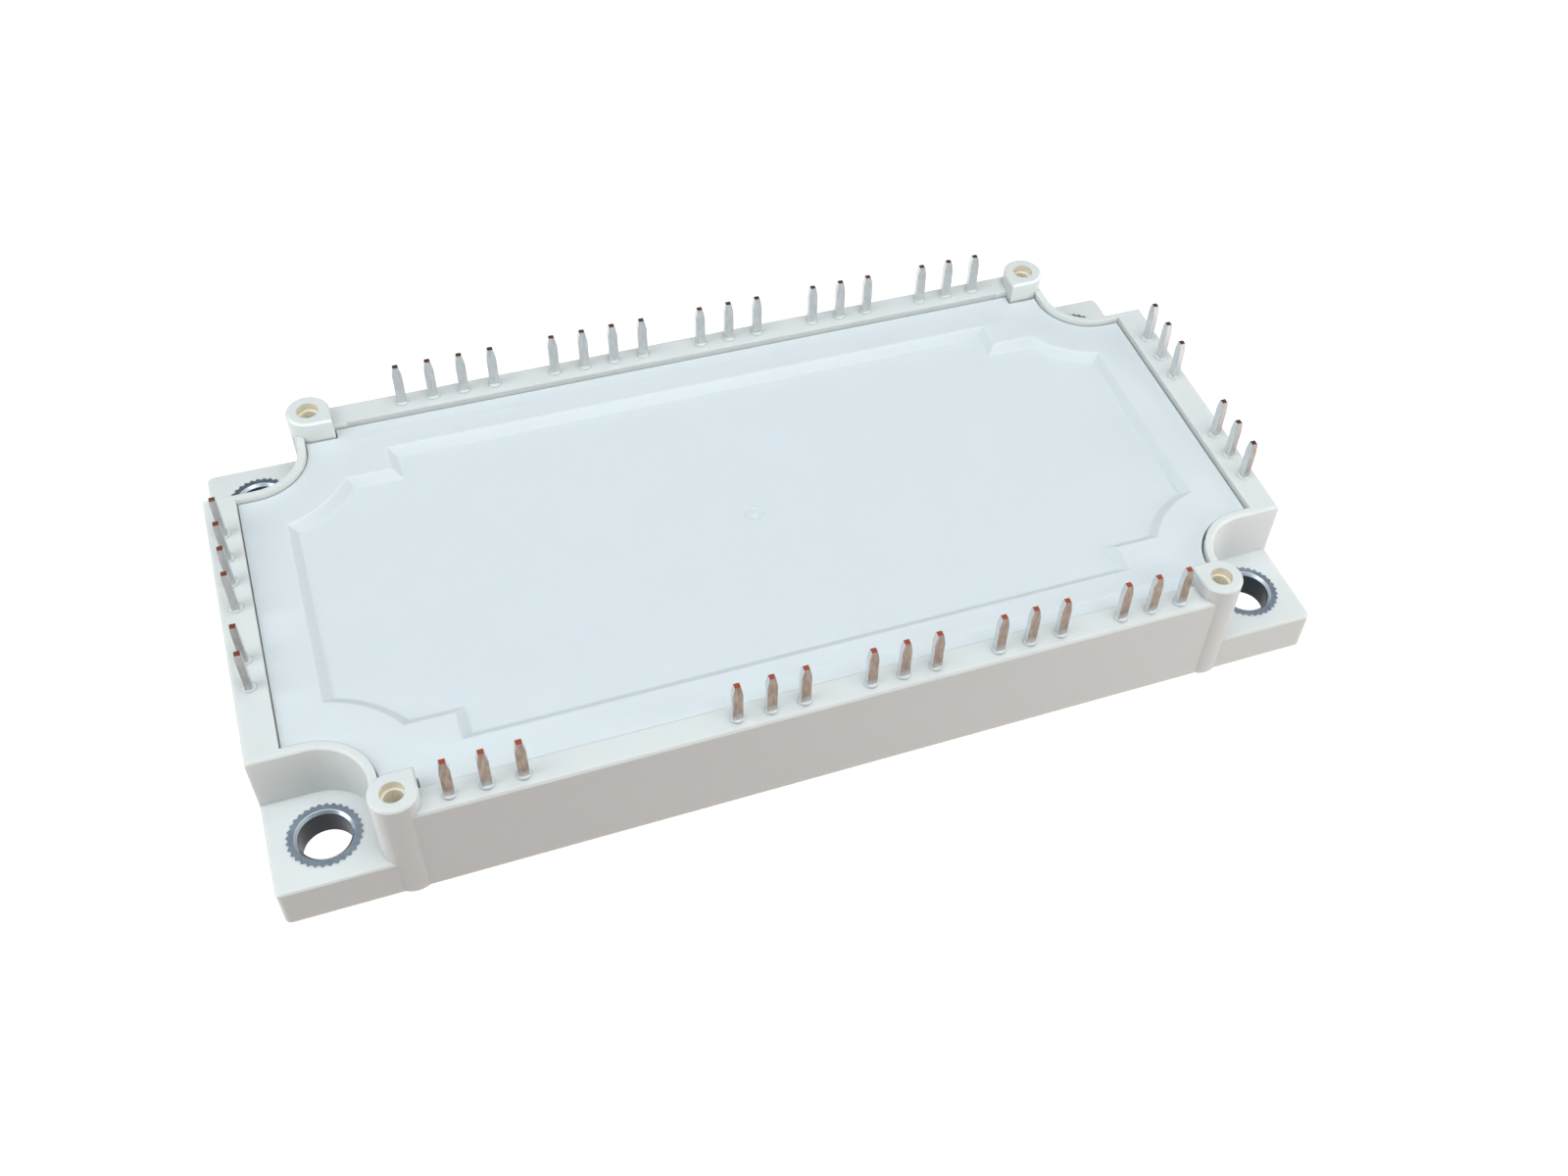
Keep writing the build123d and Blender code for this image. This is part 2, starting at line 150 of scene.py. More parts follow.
def mesh_piece(name, points, faces, material, flat=()):
    """A new piece from points and faces, smooth except at sharp edges and on the faces numbered in flat."""
    mesh = bpy.data.meshes.new(name)
    mesh.from_pydata(np.asarray(points).tolist(), [], [list(map(int, face)) for face in faces])
    mesh.update()
    smooth = np.ones(len(mesh.polygons), bool)
    smooth[list(flat)] = False
    mesh.polygons.foreach_set("use_smooth", smooth)
    mesh.set_sharp_from_angle(angle=SHARP_ANGLE)
    mesh.materials.append(material)
    piece = bpy.data.objects.new(name, mesh)
    bpy.context.scene.collection.objects.link(piece)
    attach(piece, "root")
    return piece


def strip(rings, first=0):
    """Faces between closed rings of points that follow each other; first is the first point's number."""
    rows, sides = len(rings), len(rings[0])
    i, j = np.meshgrid(np.arange(rows - 1), np.arange(sides), indexing="ij")
    k = (j + 1) % sides
    faces = np.stack([i * sides + j, i * sides + k, (i + 1) * sides + k, (i + 1) * sides + j], axis=-1)
    return faces.reshape(-1, 4) + first


def turned(profile, sides):
    """Surface of revolution: ring i has radius r_i and height z_i, and its point j stands at the angle
    2 pi j / sides."""
    angle = 2 * np.pi * np.arange(sides) / sides
    ring = np.stack([np.cos(angle), np.sin(angle), np.zeros(sides)], axis=1)
    return np.array([r * ring + (0, 0, z) for r, z in profile])


def copies(points, faces, places):
    """The same surface at every place: points are moved by each place, faces count on from copy to copy."""
    places = np.asarray(places, float)
    all_points = (points[None] + places[:, None]).reshape(-1, 3)
    steps = np.arange(len(places)) * len(points)
    all_faces = (faces[None] + steps[:, None, None]).reshape(-1, faces.shape[1])
    return all_points, all_faces


def new_material(name):
    """An empty procedural material: its nodes, its shader and a source of object coordinates."""
    material = bpy.data.materials.new(name)
    material.use_nodes = True
    tree = material.node_tree
    shader = tree.nodes["Principled BSDF"]
    place = tree.nodes.new("ShaderNodeTexCoord").outputs["Object"]
    return material, tree, shader, place


def noise(tree, place, size, detail=3.0, rough=0.55):
    """Noise whose grains are about one size across, in metres."""
    node = tree.nodes.new("ShaderNodeTexNoise")
    node.inputs["Scale"].default_value = 1.0 / size
    node.inputs["Detail"].default_value = detail
    node.inputs["Roughness"].default_value = rough
    tree.links.new(place, node.inputs["Vector"])
    return node.outputs["Fac"]


def spread(tree, value, low, high, out_low, out_high):
    """A value stretched from one range to another and held inside it."""
    node = tree.nodes.new("ShaderNodeMapRange")
    tree.links.new(value, node.inputs["Value"])
    node.inputs["From Min"].default_value = low
    node.inputs["From Max"].default_value = high
    node.inputs["To Min"].default_value = out_low
    node.inputs["To Max"].default_value = out_high
    return node.outputs["Result"]


def over(tree, value, reach, first, last):
    """A value in metres turned into one that goes from first to last over a reach in millimetres."""
    start, end = reach
    return spread(tree, value, start * MM, end * MM, first, last)


def patches(tree, value):
    """Noise pulled apart into light and dark patches, from 0 to 1."""
    return spread(tree, value, 0.35, 0.65, 0.0, 1.0)


def wavering(tree, value, middle, stray):
    """Noise turned into a value that strays from a middle to both sides."""
    return spread(tree, value, 0.3, 0.7, middle - stray, middle + stray)


def mixed(tree, share, one, other):
    """One colour going over to another by a share from 0 to 1; each is a colour or a socket."""
    node = tree.nodes.new("ShaderNodeMix")
    node.data_type = "RGBA"
    tree.links.new(share, node.inputs["Factor"])
    for socket, colour in ((node.inputs["A"], one), (node.inputs["B"], other)):
        if isinstance(colour, tuple):
            socket.default_value = (*colour, 1.0)
        else:
            tree.links.new(colour, socket)
    return node.outputs["Result"]


def calculated(tree, operation, one, other):
    """Sum, product or other arithmetic of two values; each is a number or a socket."""
    node = tree.nodes.new("ShaderNodeMath")
    node.operation = operation
    for socket, value in zip(node.inputs, (one, other)):
        if isinstance(value, (int, float)):
            socket.default_value = value
        else:
            tree.links.new(value, socket)
    return node.outputs[0]


def product(tree, *values):
    """All the values multiplied together."""
    result = values[0]
    for value in values[1:]:
        result = calculated(tree, "MULTIPLY", result, value)
    return result


def along(tree, place, direction):
    """How far a point lies along a direction: the dot product of the two."""
    node = tree.nodes.new("ShaderNodeVectorMath")
    node.operation = "DOT_PRODUCT"
    tree.links.new(place, node.inputs[0])
    node.inputs[1].default_value = direction
    return node.outputs["Value"]


def stretched(tree, place, factors):
    """Coordinates multiplied axis by axis, so that a texture runs long or short along each."""
    node = tree.nodes.new("ShaderNodeVectorMath")
    node.operation = "MULTIPLY"
    tree.links.new(place, node.inputs[0])
    node.inputs[1].default_value = factors
    return node.outputs["Vector"]


def distance_from_axes(tree, place, x, y):
    """Distance in metres from the nearest of the four upright axes at plus or minus x and y millimetres."""
    folded = tree.nodes.new("ShaderNodeVectorMath")
    folded.operation = "ABSOLUTE"
    tree.links.new(place, folded.inputs[0])
    level = stretched(tree, folded.outputs["Vector"], (1, 1, 0))
    node = tree.nodes.new("ShaderNodeVectorMath")
    node.operation = "DISTANCE"
    tree.links.new(level, node.inputs[0])
    node.inputs[1].default_value = (x * MM, y * MM, 0)
    return node.outputs["Value"]


def surface_normal(tree):
    """The true normal of the surface."""
    return tree.nodes.new("ShaderNodeNewGeometry").outputs["Normal"]


def facing_front(tree, low, high):
    """From 0 to 1 as a face turns to the front, while its normal's part that way goes from low to high."""
    return spread(tree, along(tree, surface_normal(tree), FRONT), low, high, 0.0, 1.0)


def band(tree, distance, reach, most=1.0):
    """The most inside a reach in millimetres and zero outside, going over within a short fade at each end."""
    inner, outer = reach
    rising = over(tree, distance, (inner, inner + TONE_FADE), 0.0, most)
    falling = over(tree, distance, (outer - TONE_FADE, outer), 1.0, 0.0)
    return product(tree, rising, falling)


def rounded_normal(tree, radius):
    """Normal of the surface as if its edges were rounded to a radius in metres."""
    node = tree.nodes.new("ShaderNodeBevel")
    node.samples = 4
    node.inputs["Radius"].default_value = radius
    return node.outputs["Normal"]


def edge_share(tree, rounded):
    """From 0 on a face to 1 on its edge: how far the rounded normal leans away from the true one."""
    node = tree.nodes.new("ShaderNodeVectorMath")
    node.operation = "DOT_PRODUCT"
    tree.links.new(rounded, node.inputs[0])
    tree.links.new(surface_normal(tree), node.inputs[1])
    return spread(tree, node.outputs["Value"], 0.99, 0.80, 0.0, 1.0)


def bumped(tree, shader, height, depth, normal=None):
    """Fine relief of a given depth in metres, on the plain or on the rounded normal."""
    node = tree.nodes.new("ShaderNodeBump")
    node.inputs["Strength"].default_value = 1.0
    node.inputs["Distance"].default_value = depth
    tree.links.new(height, node.inputs["Height"])
    if normal is not None:
        tree.links.new(normal, node.inputs["Normal"])
    tree.links.new(node.outputs["Normal"], shader.inputs["Normal"])


def outer_front(tree, place):
    """One on the outer faces of the front side, zero elsewhere."""
    outside = over(tree, along(tree, place, BACK), OUTER_FRONT_Y, 1.0, 0.0)
    return product(tree, facing_front(tree, 0.5, 0.9), outside)


def back_corner_walls(tree, place):
    """One on the walls of the back scallops and bosses that look to the front, zero elsewhere."""
    scallop = band(tree, distance_from_axes(tree, place, HOLE_X, HOLE_Y), SCALLOP_WALL, SCALLOP_SHARE)
    boss = band(tree, distance_from_axes(tree, place, BOSS_X, BOSS_Y), BOSS_WALL)
    start, end = WALLS_BELOW_RIM
    high = spread(tree, along(tree, place, UP), RIM_TOP - start * MM, RIM_TOP - end * MM, 0.0, 1.0)
    behind = over(tree, along(tree, place, BACK), BACK_HALF_Y, 0.0, 1.0)
    either = calculated(tree, "MAXIMUM", scallop, boss)
    return product(tree, either, high, behind, facing_front(tree, 0.1, 0.4))


def down_boss_holes(tree, place):
    """One on the walls of the bosses' screw holes, zero elsewhere."""
    inside = over(tree, distance_from_axes(tree, place, BOSS_X, BOSS_Y), BOSS_HOLE_WALL, 1.0, 0.0)
    start, end = BELOW_BOSS_TOP
    below = spread(tree, along(tree, place, UP), BOSS_TOP - start * MM, BOSS_TOP - end * MM, 1.0, 0.0)
    return product(tree, inside, below)


def moulded_plastic(name, light, dark, roughness, rounding=0, boss_hole_painted_glow=None, front=None, back_walls_painted_light=None):
    """Filled plastic: faint clouding, fine grain, light that scatters in, edges softened by a rounding in
    metres; a painted warm glow down the boss holes, painted shade on the outer front faces that goes over
    from a darker tone at the left end to a lighter one at the right, and painted light on the walls at the
    back corners."""
    material, tree, shader, place = new_material(name)
    colour = mixed(tree, patches(tree, noise(tree, place, 9 * MM)), dark, light)
    # Painted shade on the outer front faces, darker at the left end and lighter at the right
    if front:
        front_shade = mixed(tree, over(tree, along(tree, place, RIGHT), FRONT_ENDS_X, 0.0, 1.0), *front)
        colour = mixed(tree, outer_front(tree, place), colour, front_shade)
    # Painted light: the walls of the back scallops and bosses that look to the front are made paler
    if back_walls_painted_light:
        colour = mixed(tree, back_corner_walls(tree, place), colour, back_walls_painted_light)
    # A painted warm glow of light scattered through the plastic, down the boss holes
    if boss_hole_painted_glow:
        colour = mixed(tree, down_boss_holes(tree, place), colour, boss_hole_painted_glow)
    gloss = wavering(tree, noise(tree, place, 1.5 * MM), roughness, 0.05)
    tree.links.new(colour, shader.inputs["Base Color"])
    tree.links.new(gloss, shader.inputs["Roughness"])
    shader.inputs["Specular IOR Level"].default_value = 0.4
    shader.inputs["Subsurface Weight"].default_value = 0.5
    shader.inputs["Subsurface Radius"].default_value = (1.0, 0.85, 0.6)
    shader.inputs["Subsurface Scale"].default_value = 0.9 * MM
    grain = noise(tree, place, 0.12 * MM, detail=2.0)
    bumped(tree, shader, grain, 0.004 * MM, rounded_normal(tree, rounding) if rounding else None)
    return material


def plain_metal(name, light, dark, roughness, grain):
    """Metal with a fine grain that changes its tone and gloss a little."""
    material, tree, shader, place = new_material(name)
    tone = noise(tree, place, grain)
    tree.links.new(mixed(tree, patches(tree, tone), dark, light), shader.inputs["Base Color"])
    tree.links.new(wavering(tree, tone, roughness, 0.06), shader.inputs["Roughness"])
    shader.inputs["Metallic"].default_value = 1.0
    bumped(tree, shader, noise(tree, place, grain / 8), 0.001 * MM)
    return material


def zinc_bushing():
    """Zinc plated steel: a blue grey toothed ring, a painted highlight on the rolled rim round the bore and
    dark slate painted shade down the bore.
    """
    material, tree, shader, place = new_material("zinc_plate")
    ring = mixed(tree, patches(tree, noise(tree, place, 0.8 * MM)), ZINC_RING, ZINC_RING_PALE)
    off_axis = distance_from_axes(tree, place, HOLE_X, HOLE_Y)
    on_lip = over(tree, off_axis, (LIP_RADIUS, LIP_RADIUS + 0.05), 1.0, 0.0)
    in_bore = over(tree, off_axis, (BORE_RADIUS + 0.02, BORE_RADIUS + 0.08), 1.0, 0.0)
    # Painted highlight: the rolled rim round the bore is given a much lighter colour
    ring_with_painted_highlight = mixed(tree, on_lip, ring, ZINC_LIP_HIGHLIGHT)
    # Painted shade: the bore's wall is coloured nearly black
    tree.links.new(mixed(tree, in_bore, ring_with_painted_highlight, ZINC_BORE_SHADE), shader.inputs["Base Color"])
    tree.links.new(spread(tree, on_lip, 0.0, 1.0, 0.42, 0.30), shader.inputs["Roughness"])
    tree.links.new(spread(tree, in_bore, 0.0, 1.0, 0.95, 0.0), shader.inputs["Metallic"])
    shader.inputs["Specular IOR Level"].default_value = 0.15
    bumped(tree, shader, noise(tree, place, 0.15 * MM), 0.003 * MM, rounded_normal(tree, 0.08 * MM))
    return material


def stone(name, light, dark, roughness, grain):
    """Fired or crystalline body with a faint speckle."""
    material, tree, shader, place = new_material(name)
    tone = patches(tree, noise(tree, place, grain))
    tree.links.new(mixed(tree, tone, dark, light), shader.inputs["Base Color"])
    shader.inputs["Roughness"].default_value = roughness
    bumped(tree, shader, noise(tree, place, grain / 6), 0.002 * MM)
    return material


def clear_gel():
    """Soft clear potting."""
    material, tree, shader, place = new_material("clear_potting")
    tone = noise(tree, place, 6 * MM)
    tree.links.new(mixed(tree, tone, (0.82, 0.83, 0.80), (0.90, 0.90, 0.88)), shader.inputs["Base Color"])
    shader.inputs["Roughness"].default_value = 0.12
    shader.inputs["Transmission Weight"].default_value = 0.85
    shader.inputs["IOR"].default_value = 1.41
    return material


def tinned_pin():
    """Tin over copper: pale sides, a painted highlight along the edges, painted brown shade on the face to the
    front above its foot, stronger the nearer the row is to the front, painted shade on the tin of the left row,
    and bare copper at the tip with a painted reflection from orange red at the front to dark brown at the back."""
    material, tree, shader, place = new_material("tinned_copper")
    streaks = noise(tree, stretched(tree, place, (1, 1, 0.25)), 0.35 * MM, detail=4.0, rough=0.65)
    streaks = patches(tree, streaks)
    height = along(tree, place, UP)
    near = over(tree, along(tree, place, BACK), NEAR_TO_FAR_Y, 1.0, FAR_SHADE)
    left = over(tree, along(tree, place, RIGHT), LEFT_ROW_X, 1.0, 0.0)
    far = over(tree, along(tree, place, CUT_DIRECTION), CUT_REACH, 0.0, 1.0)
    start, end = OVER_FOOT
    off_foot = spread(tree, height, RIM_TOP + start * MM, RIM_TOP + end * MM, FOOT_SHADE, 1.0)
    # Painted brown shade on the faces turned to the front, strongest in the front rows and weaker at the foot
    pin_front_shade_share = product(tree, facing_front(tree, 0.6, 0.95), near, off_foot)
    rounded = rounded_normal(tree, PIN_ROUNDING * MM)
    edge = edge_share(tree, rounded)
    tin = mixed(tree, streaks, TIN, TIN_PALE)
    faces = mixed(tree, pin_front_shade_share, tin, mixed(tree, streaks, PIN_FRONT_SHADE, PIN_FRONT_SHADE_PALE))
    # Painted highlight along the pins' rounded edges
    faces = mixed(tree, product(tree, edge, EDGE_HIGHLIGHT_SHARE), faces, TIN_EDGE_HIGHLIGHT)
    # Painted shade: the left row's tin is made darker
    faces = mixed(tree, product(tree, left, LEFT_SHADE_SHARE), faces, TIN_LEFT_SHADE)
    # Bare copper at the tips, its tone from front to back a painted reflection, darker at its rim
    middle = mixed(tree, far, mixed(tree, left, COPPER_NEAR_REFLECTION, COPPER_LEFT_REFLECTION), COPPER_FAR_REFLECTION)
    cut = mixed(tree, edge, middle, mixed(tree, far, CUT_RIM_NEAR, CUT_RIM_FAR))
    start, end = CUT_BELOW_TOP
    tip = spread(tree, height, PIN_TOP - start * MM, PIN_TOP - end * MM, 0.0, 1.0)
    tree.links.new(mixed(tree, tip, faces, cut), shader.inputs["Base Color"])
    tree.links.new(spread(tree, tip, 0.0, 1.0, 0.85, 0.35), shader.inputs["Metallic"])
    tree.links.new(spread(tree, streaks, 0.0, 1.0, 0.42, 0.30), shader.inputs["Roughness"])
    bumped(tree, shader, streaks, 0.002 * MM, rounded)
    return material


# The frame's front tones are painted shade, its back wall tone is painted light and its boss hole tone is a
# painted glow
frame_plastic = moulded_plastic("frame_moulding", (0.615, 0.61, 0.60), (0.605, 0.60, 0.59), 0.48,
                                0.20 * MM, boss_hole_painted_glow=(0.85, 0.78, 0.65), back_walls_painted_light=(0.78, 0.78, 0.76),
                                front=((0.425, 0.40, 0.385), (0.485, 0.465, 0.445)))
lid_plastic = moulded_plastic("lid_moulding", (0.604, 0.619, 0.629), (0.599, 0.614, 0.624), 0.42)
pin_metal = tinned_pin()
plate_metal = plain_metal("nickel_plate", (0.645, 0.625, 0.585), (0.63, 0.61, 0.57), 0.34, 2 * MM)
circuit_metal = plain_metal("etched_copper", (0.82, 0.50, 0.36), (0.72, 0.42, 0.30), 0.40, 1.5 * MM)
solder_metal = plain_metal("solder", (0.66, 0.67, 0.68), (0.56, 0.57, 0.58), 0.35, 1.0 * MM)
wire_metal = plain_metal("bond_wire", (0.84, 0.84, 0.84), (0.76, 0.76, 0.76), 0.30, 0.5 * MM)
ceramic = stone("fired_ceramic", (0.90, 0.89, 0.86), (0.84, 0.83, 0.80), 0.55, 0.4 * MM)
silicon = stone("silicon_chip", (0.16, 0.17, 0.20), (0.12, 0.13, 0.16), 0.18, 0.8 * MM)
sensor = stone("sensor_body", (0.30, 0.25, 0.21), (0.24, 0.20, 0.17), 0.5, 0.2 * MM)
seal = stone("seal_bead", (0.26, 0.26, 0.27), (0.20, 0.20, 0.21), 0.6, 0.5 * MM)

finishes = {
    "frame": frame_plastic,
    "lid": lid_plastic,
    "base_plate": plate_metal,
    "base_seal": seal,
    "mounting_bushings": zinc_bushing(),
    "solder_layers": solder_metal,
    "substrate_backs": circuit_metal,
    "ceramic_tiles": ceramic,
    "copper_tracks": circuit_metal,
    "igbt_chips": silicon,
    "freewheel_diodes": silicon,
    "rectifier_diodes": silicon,
    "thermistor": sensor,
    "bond_wires": wire_metal,
    "silicone_gel": clear_gel(),
}
finishes.update({name: pin_metal for name in PIN_NAMES})
for name, material in finishes.items():
    nodes[name].data.materials.clear()
    nodes[name].data.materials.append(material)


def arc(middle, radius, start, end, count):
    """Points on a circle round a middle, evenly from one angle to another."""
    angle = np.linspace(start, end, count)
    return [(middle[0] + radius * np.cos(a), middle[1] + radius * np.sin(a)) for a in angle]


def four_quarters(quarter):
    """Closed loop, counted leftwards from above, from its quarter between the X and the Y axis."""
    quarter = np.asarray(quarter, float)
    return np.concatenate([quarter, quarter[::-1] * (-1, 1), -quarter, quarter[::-1] * (1, -1)])


def lid_outline(inset):
    """Outline of the lid, drawn in by an inset: straight sides, a scallop round each mounting hole and a
    step round each board boss."""
    radius = LID_SCALLOP_RADIUS + inset
    size = LID_BOSS_SIZE + inset
    turn = -np.arccos((HOLE_X - radius - BOSS_X) / size)
    quarter = [(LID_HALF_X - inset, HOLE_Y - radius)]
    quarter += arc((HOLE_X, HOLE_Y), radius, -np.pi / 2, -np.pi, SCALLOP_POINTS)
    quarter += arc((BOSS_X, BOSS_Y), size, turn, -np.pi / 2, BOSS_POINTS)
    quarter += [(BOSS_X - size, BOSS_Y - size), (BOSS_X - size, LID_HALF_Y - inset)]
    return four_quarters(quarter)


def tray_outline(inset):
    """Outline of the tray, drawn in by an inset: round bites at the corners, a square step beside each."""
    radius = TRAY_CORNER_RADIUS + inset
    start = -np.arccos((TRAY_HALF_X - inset - HOLE_X) / radius)
    end = np.arcsin((HOLE_Y - TRAY_STEP_Y + inset) / radius) - np.pi
    quarter = arc((HOLE_X, HOLE_Y), radius, start, end, SCALLOP_POINTS)
    quarter += [(TRAY_STEP_X - inset, TRAY_STEP_Y - inset), (TRAY_STEP_X - inset, TRAY_HALF_Y - inset)]
    return four_quarters(quarter)


def level_ring(outline, level):
    """An outline laid at a level."""
    return np.column_stack([outline, np.full(len(outline), level)])


def tray_wall():
    """Section of the tray wall as insets and levels: a round shoulder, a straight slope and a round foot,
    each round part an arc that touches the slope at its angle."""
    slope = np.arctan2(TRAY_DEPTH, TRAY_SLOPE)
    t = np.linspace(0, slope, WALL_POINTS)
    top, foot = TRAY_TOP_ROUNDING, TRAY_FOOT_ROUNDING
    shoulder_in = top * np.sin(t) - top * np.tan(slope / 2)
    shoulder_level = top * np.cos(t) - top
    foot_in = TRAY_SLOPE + foot * np.tan(slope / 2) - foot * np.sin(t[::-1])
    foot_level = foot - foot * np.cos(t[::-1]) - TRAY_DEPTH
    return np.column_stack([np.append(shoulder_in, foot_in), np.append(shoulder_level, foot_level)])


def gate_mark():
    """Section of the gate mark as radii and levels: a quarter round down from the tray's floor, a level ring
    and a quarter round up to a low flat nub."""
    down, up = np.linspace(0, np.pi / 2, 9), np.linspace(0, np.pi / 2, 5)
    dish = np.column_stack([MARK_RADIUS + MARK_ROUNDING * np.cos(down), -MARK_DEPTH * np.sin(down)])
    nub = np.column_stack([NUB_RADIUS - NUB_ROUNDING * np.sin(up), NUB_RISE * (1 - np.cos(up)) - MARK_DEPTH])
    return np.concatenate([dish, nub, NUB_TOP])


def cap(loops, numbers, up=True):
    """Flat triangles that fill a loop of points, less the loops inside it; numbers are its points' numbers."""
    triangles = np.array(tessellate_polygon([[Vector(point) for point in loop] for loop in loops]))
    points = np.concatenate(loops)
    corners = points[triangles]
    turn = np.cross(corners[:, 1] - corners[:, 0], corners[:, 2] - corners[:, 0])[:, 2]
    wrong = (turn < 0) if up else (turn > 0)
    triangles[wrong] = triangles[wrong][:, ::-1]
    return np.asarray(numbers)[triangles]


def lid_cover():
    """The lid as one closed surface: rings of its outline from the seat up over the broken edge, rings of
    the tray's outline down the rounded wall, the gate mark turned about the middle, and a tray below."""
    t = np.linspace(0, np.pi / 2, EDGE_POINTS)
    edge = [(0, -LID_THICKNESS)] + [(LID_EDGE * (1 - np.cos(a)), LID_EDGE * (np.sin(a) - 1)) for a in t]
    outer = np.array([level_ring(lid_outline(inset), level) for inset, level in edge])
    outer[:, :, 0] += np.where(outer[:, :, 0] > 0, LID_RIGHT_REACH, -LID_LEFT_REACH)
    wall = np.array([level_ring(tray_outline(inset), level) for inset, level in tray_wall()])
    mark = turned(gate_mark(), MARK_SIDES) + (0, 0, -TRAY_DEPTH)
    below = np.array([level_ring(tray_outline(inset - TRAY_SKIN), -LID_THICKNESS - depth)
                      for inset, depth in ((0, 0), (TRAY_SLOPE, TRAY_DEPTH))])
    groups = [outer, wall, mark, below]
    starts = np.cumsum([0] + [group.shape[0] * group.shape[1] for group in groups])
    points = np.concatenate([group.reshape(-1, 3) for group in groups])
    count = [group.shape[1] for group in groups]
    smooth = [strip(group, start) for group, start in zip(groups[:3], starts)]
    smooth.append(strip(below, starts[3])[:, ::-1])
    last = starts[1:] - count
    rings = {"edge": (outer[-1], last[0]), "seat": (outer[0], 0), "shoulder": (wall[0], starts[1]),
             "foot": (wall[-1], last[1]), "dish": (mark[0], starts[2]), "nub": (mark[-1], last[2]),
             "skirt": (below[0], starts[3]), "bottom": (below[-1], last[3])}
    flat = []
    for names, up in ((("edge", "shoulder"), True), (("foot", "dish"), True), (("nub",), True),
                      (("seat", "skirt"), False), (("bottom",), False)):
        loops = [rings[name][0] for name in names]
        numbers = np.concatenate([rings[name][1] + np.arange(len(rings[name][0])) for name in names])
        flat.append(cap(loops, numbers, up))
    faces = [face for group in smooth + flat for face in group]
    flat_numbers = range(sum(map(len, smooth)), len(faces))
    middle = ((lid_low.x + lid_high.x) / 2, (lid_low.y + lid_high.y) / 2, lid_high.z)
    piece = mesh_piece("lid_cover", points * MM + middle, faces, lid_plastic, flat_numbers)
    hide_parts("lid")
    return piece


def pin_middles():
    """Middle of each pin's upright blade at rim level; the foot reaches inward from it."""
    middles = []
    half = PIN_HALF_THICKNESS * MM
    for name in PIN_NAMES:
        low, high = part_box(name)
        x, y = (low.x + high.x) / 2, (low.y + high.y) / 2
        if "back" in name:
            y = high.y - half
        elif "front" in name:
            y = low.y + half
        elif "left" in name:
            x = low.x + half
        else:
            x = high.x - half
        middles.append((x, y, RIM_TOP))
    return middles


def pin_collars():
    """Low round collar at the root of each pin: a profile that rises, rounds over in a quarter circle and
    runs in to the blade, turned about the pin's middle."""
    t = np.linspace(0, np.pi / 2, 6)
    round_x, round_z = COLLAR_ROUNDING * np.cos(t), COLLAR_ROUNDING * np.sin(t)
    shoulder = np.stack([COLLAR_RADIUS + round_x, COLLAR_ROUNDING + round_z], axis=1)
    profile = np.concatenate([COLLAR_FOOT, shoulder, COLLAR_TOP]) * MM
    rings = turned(profile, COLLAR_SIDES)
    points, faces = copies(rings.reshape(-1, 3), strip(rings), pin_middles())
    return mesh_piece("pin_collars", points, faces, frame_plastic)


lid_cover()
pin_collars()


def camera():
    """Camera at the photograph's place, with its lens and its off centre framing."""
    data = bpy.data.cameras.new("photo_camera")
    data.sensor_width = SENSOR_MM
    data.lens = FOCAL_PX * SENSOR_MM / PHOTO_WIDTH
    data.shift_x = (PHOTO_WIDTH / 2 - CENTRE_X_PX) / PHOTO_WIDTH
    data.shift_y = (CENTRE_Y_PX - PHOTO_HEIGHT / 2) / PHOTO_WIDTH
    data.clip_start = CAMERA_NEAR
    data.clip_end = CAMERA_FAR
    taker = bpy.data.objects.new("photo_camera", data)
    axes = np.array([CAMERA_RIGHT, np.negative(CAMERA_DOWN), np.negative(CAMERA_FORWARD)]).T
    turn = np.eye(4)
    turn[:3, :3] = axes
    turn[:3, 3] = CAMERA_PLACE
    taker.matrix_world = Matrix(turn.tolist())
    bpy.context.scene.collection.objects.link(taker)
    bpy.context.scene.camera = taker


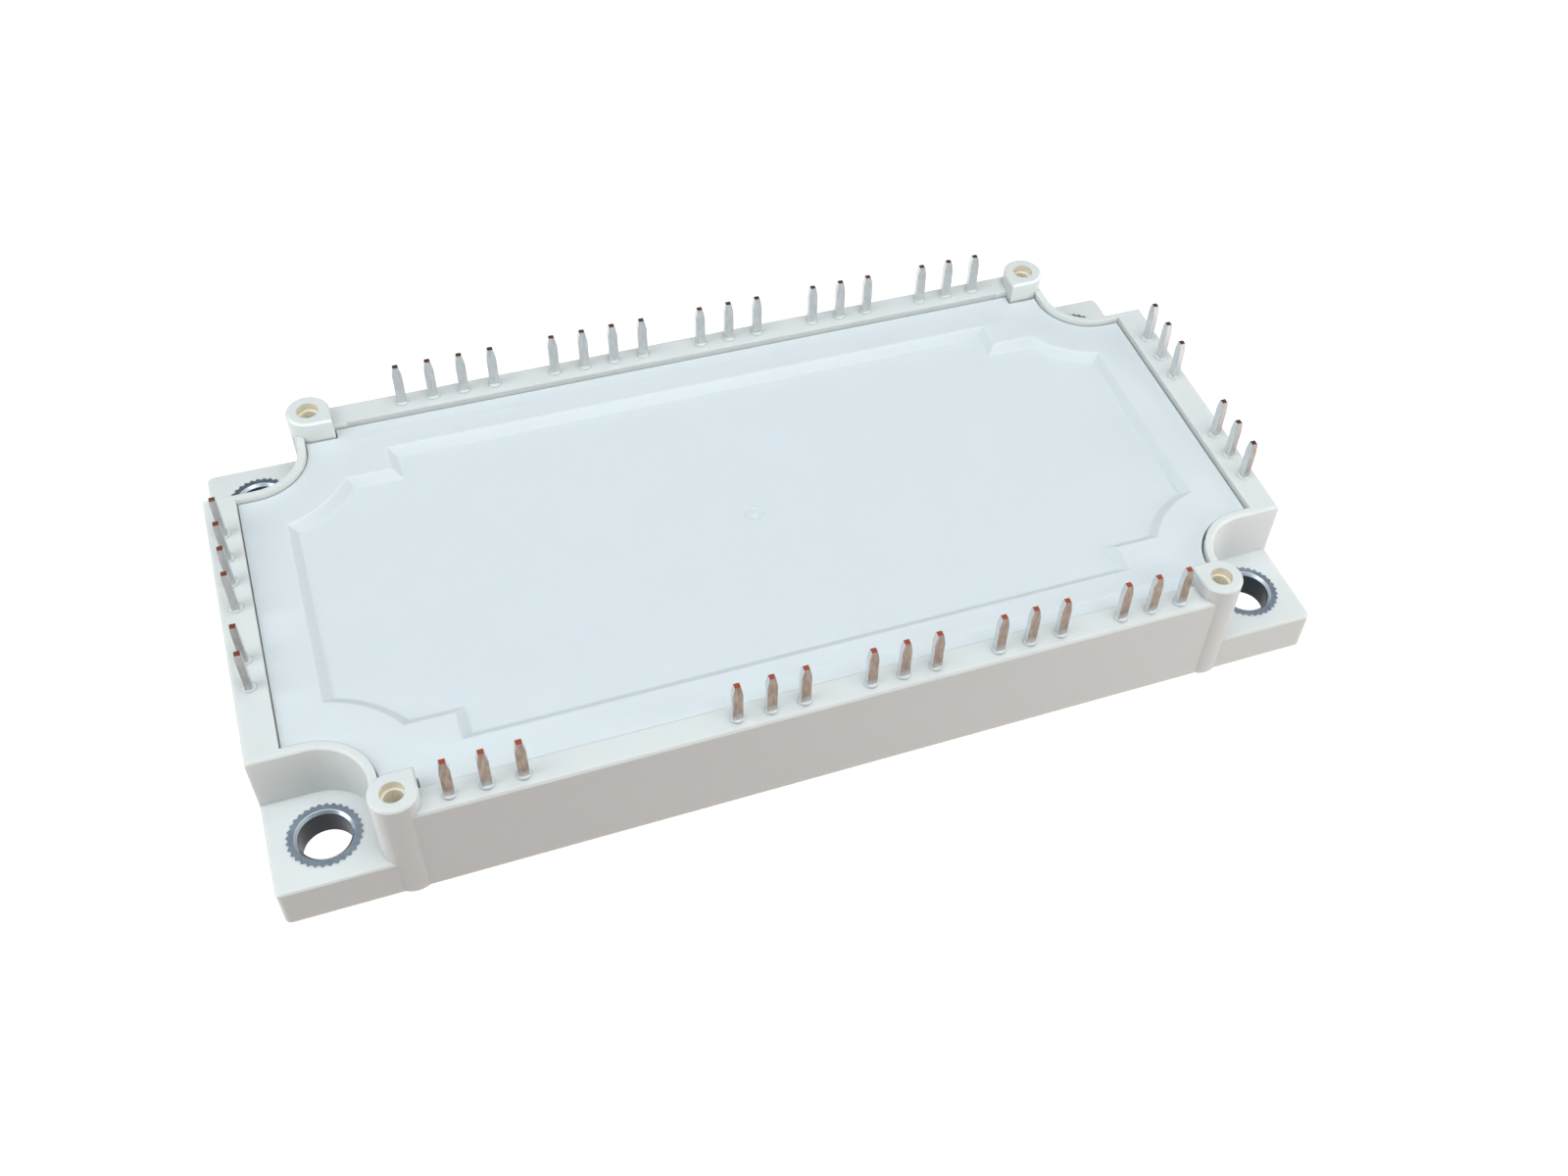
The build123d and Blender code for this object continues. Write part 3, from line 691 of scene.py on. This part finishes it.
def floor():
    """Plain pale floor, lit from within like a light table, so that it stays white up to the object."""
    half = FLOOR_HALF
    points = [(-half, -half, 0), (half, -half, 0), (half, half, 0), (-half, half, 0)]
    mesh = bpy.data.meshes.new("floor")
    mesh.from_pydata(points, [], [[0, 1, 2, 3]])
    material, tree, shader, place = new_material("pale_floor")
    tree.links.new(mixed(tree, noise(tree, place, 0.5), (0.15, 0.145, 0.14), (0.17, 0.165, 0.16)),
                   shader.inputs["Base Color"])
    shader.inputs["Roughness"].default_value = 0.9
    shader.inputs["Specular IOR Level"].default_value = 0.1
    shader.inputs["Emission Color"].default_value = FLOOR_GLOW_COLOUR
    shader.inputs["Emission Strength"].default_value = FLOOR_GLOW
    mesh.materials.append(material)
    ground = bpy.data.objects.new("floor", mesh)
    bpy.context.scene.collection.objects.link(ground)


def soft_light(name, place, aim, size, power, colour):
    """Square soft light at a place, turned to a point it is aimed at."""
    data = bpy.data.lights.new(name, "AREA")
    data.shape = "SQUARE"
    data.size = size
    data.energy = power
    data.color = colour
    lamp = bpy.data.objects.new(name, data)
    direction = np.subtract(aim, place)
    direction = direction / np.linalg.norm(direction)
    side = np.cross(direction, (0.0, 1.0, 0.0) if abs(direction[1]) < 0.9 else (1.0, 0.0, 0.0))
    side = side / np.linalg.norm(side)
    up = np.cross(side, direction)
    turn = np.eye(4)
    turn[:3, :3] = np.array([side, up, -direction]).T
    turn[:3, 3] = place
    lamp.matrix_world = Matrix(turn.tolist())
    bpy.context.scene.collection.objects.link(lamp)


def studio():
    """Dim surroundings and five soft lights: a broad one overhead, one from the left, one from the front, a
    low one from the left and a low one from the right that grazes the front and fades along it."""
    world = bpy.data.worlds.new("studio")
    world.use_nodes = True
    background = world.node_tree.nodes["Background"]
    background.inputs["Color"].default_value = WORLD_COLOUR
    background.inputs["Strength"].default_value = WORLD_STRENGTH
    bpy.context.scene.world = world
    for light in LIGHTS:
        soft_light(*light)


camera()
floor()
studio()
bpy.context.scene.view_settings.view_transform = "Standard"
bpy.context.scene.view_settings.look = "None"
